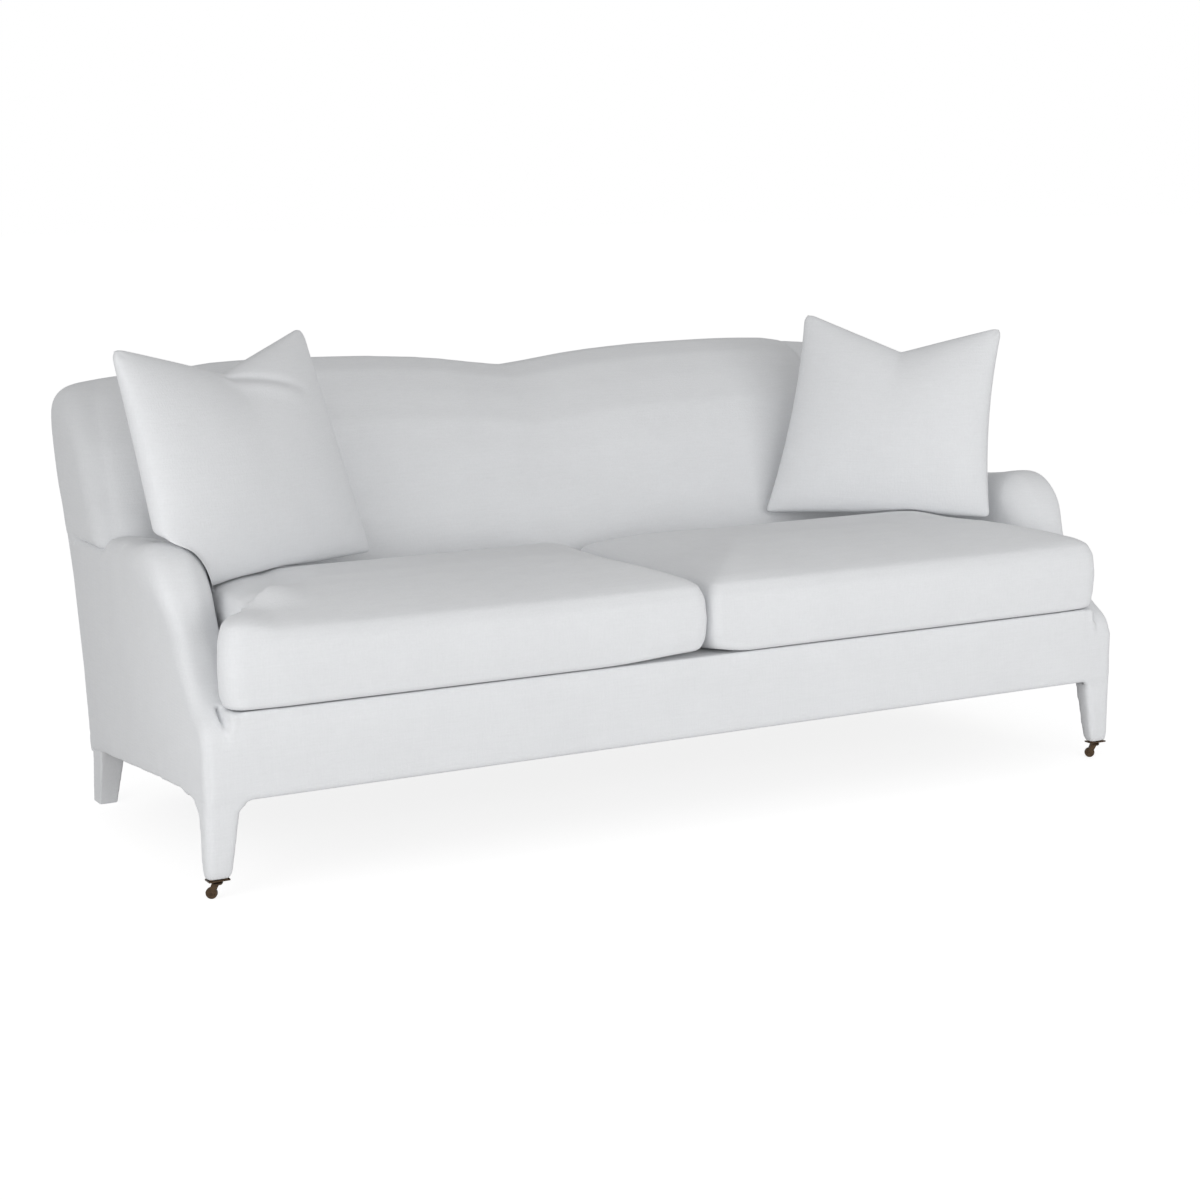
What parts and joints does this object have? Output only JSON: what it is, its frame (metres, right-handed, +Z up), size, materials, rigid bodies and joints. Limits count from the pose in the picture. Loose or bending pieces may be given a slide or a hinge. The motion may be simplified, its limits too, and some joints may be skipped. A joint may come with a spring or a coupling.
{
  "type": "camelback sofa",
  "caption": "Upholstered camelback sofa with a double-humped back, low rounded arms, T-shaped seat cushions, loose pillows and casters on the front legs.",
  "frame": {"origin": "centre of the bounding box at floor level", "axes": "+Z up, front of the sofa towards -Y, +X along the length"},
  "size_m": [2.134, 1.0172, 1.0011],
  "materials": {
    "linen": "matte",
    "frame_wood": "matte",
    "spring_steel": "satin",
    "cambric": "matte",
    "bronze": "satin"
  },
  "bodies": {
    "frame": {"front_rail": "frame_wood", "side_rail_left": "frame_wood", "side_rail_right": "frame_wood", "rear_rail": "frame_wood", "centre_stretcher": "frame_wood", "front_corner_block_left": "frame_wood", "front_corner_block_right": "frame_wood", "rear_corner_block_left": "frame_wood", "rear_corner_block_right": "frame_wood", "front_leg_left": "frame_wood", "front_leg_right": "frame_wood", "rear_leg_and_post_left": "frame_wood", "rear_leg_and_post_right": "frame_wood", "arm_post_left": "frame_wood", "arm_post_right": "frame_wood", "arm_rail_left": "frame_wood", "arm_rail_right": "frame_wood", "back_top_rail": "frame_wood", "back_lower_rail": "frame_wood", "back_centre_post": "frame_wood", "seat_spring_1": "spring_steel", "seat_spring_2": "spring_steel", "seat_spring_3": "spring_steel", "seat_spring_4": "spring_steel", "seat_spring_5": "spring_steel", "seat_spring_6": "spring_steel", "seat_spring_7": "spring_steel", "seat_spring_8": "spring_steel", "seat_deck": "linen", "dust_cover": "cambric", "front_border": "linen", "front_leg_cover_left": "linen", "front_leg_cover_right": "linen", "rear_leg_cover_left": "linen", "rear_leg_cover_right": "linen", "outside_arm_left": "linen", "outside_arm_right": "linen", "outside_back": "linen", "inside_back": "linen", "inside_back_wing_left": "linen", "inside_back_wing_right": "linen", "arm_pad_left": "linen", "arm_pad_right": "linen", "caster_plate_left": "bronze", "caster_plate_right": "bronze"},
    "seat_cushion_left": {"seat_cushion_left": "linen"},
    "seat_cushion_right": {"seat_cushion_right": "linen"},
    "throw_pillow_left": {"throw_pillow_left": "linen"},
    "throw_pillow_right": {"throw_pillow_right": "linen"},
    "caster_swivel_left": {"caster_stem_left": "bronze", "caster_fork_left": "bronze", "caster_axle_left": "bronze"},
    "caster_swivel_right": {"caster_stem_right": "bronze", "caster_fork_right": "bronze", "caster_axle_right": "bronze"},
    "caster_wheel_left": {"caster_wheel_left": "bronze"},
    "caster_wheel_right": {"caster_wheel_right": "bronze"}
  },
  "joints": [
    {"name": "seat_cushion_left_pull", "type": "slide", "parent": "frame", "child": "seat_cushion_left", "axis": [0, -1, 0], "range_m": [0, 0.25]},
    {"name": "seat_cushion_right_pull", "type": "slide", "parent": "frame", "child": "seat_cushion_right", "axis": [0, -1, 0], "range_m": [0, 0.25]},
    {"name": "throw_pillow_left_lift", "type": "slide", "parent": "seat_cushion_left", "child": "throw_pillow_left", "axis": [0, 0, 1], "range_m": [0, 0.25]},
    {"name": "throw_pillow_right_lift", "type": "slide", "parent": "seat_cushion_right", "child": "throw_pillow_right", "axis": [0, 0, 1], "range_m": [0, 0.25]},
    {"name": "caster_swivel_left", "type": "hinge", "parent": "frame", "child": "caster_swivel_left", "pos_m": [-1.045, -0.46936, 0.035], "axis": [0, 0, 1], "continuous": true},
    {"name": "caster_swivel_right", "type": "hinge", "parent": "frame", "child": "caster_swivel_right", "pos_m": [1.045, -0.46936, 0.035], "axis": [0, 0, 1], "continuous": true},
    {"name": "caster_wheel_left", "type": "hinge", "parent": "caster_swivel_left", "child": "caster_wheel_left", "pos_m": [-1.05506, -0.46283, 0.011], "axis": [-0.5446, -0.8387, 0], "continuous": true},
    {"name": "caster_wheel_right", "type": "hinge", "parent": "caster_swivel_right", "child": "caster_wheel_right", "pos_m": [1.03494, -0.46283, 0.011], "axis": [-0.5446, -0.8387, 0], "continuous": true}
  ]
}
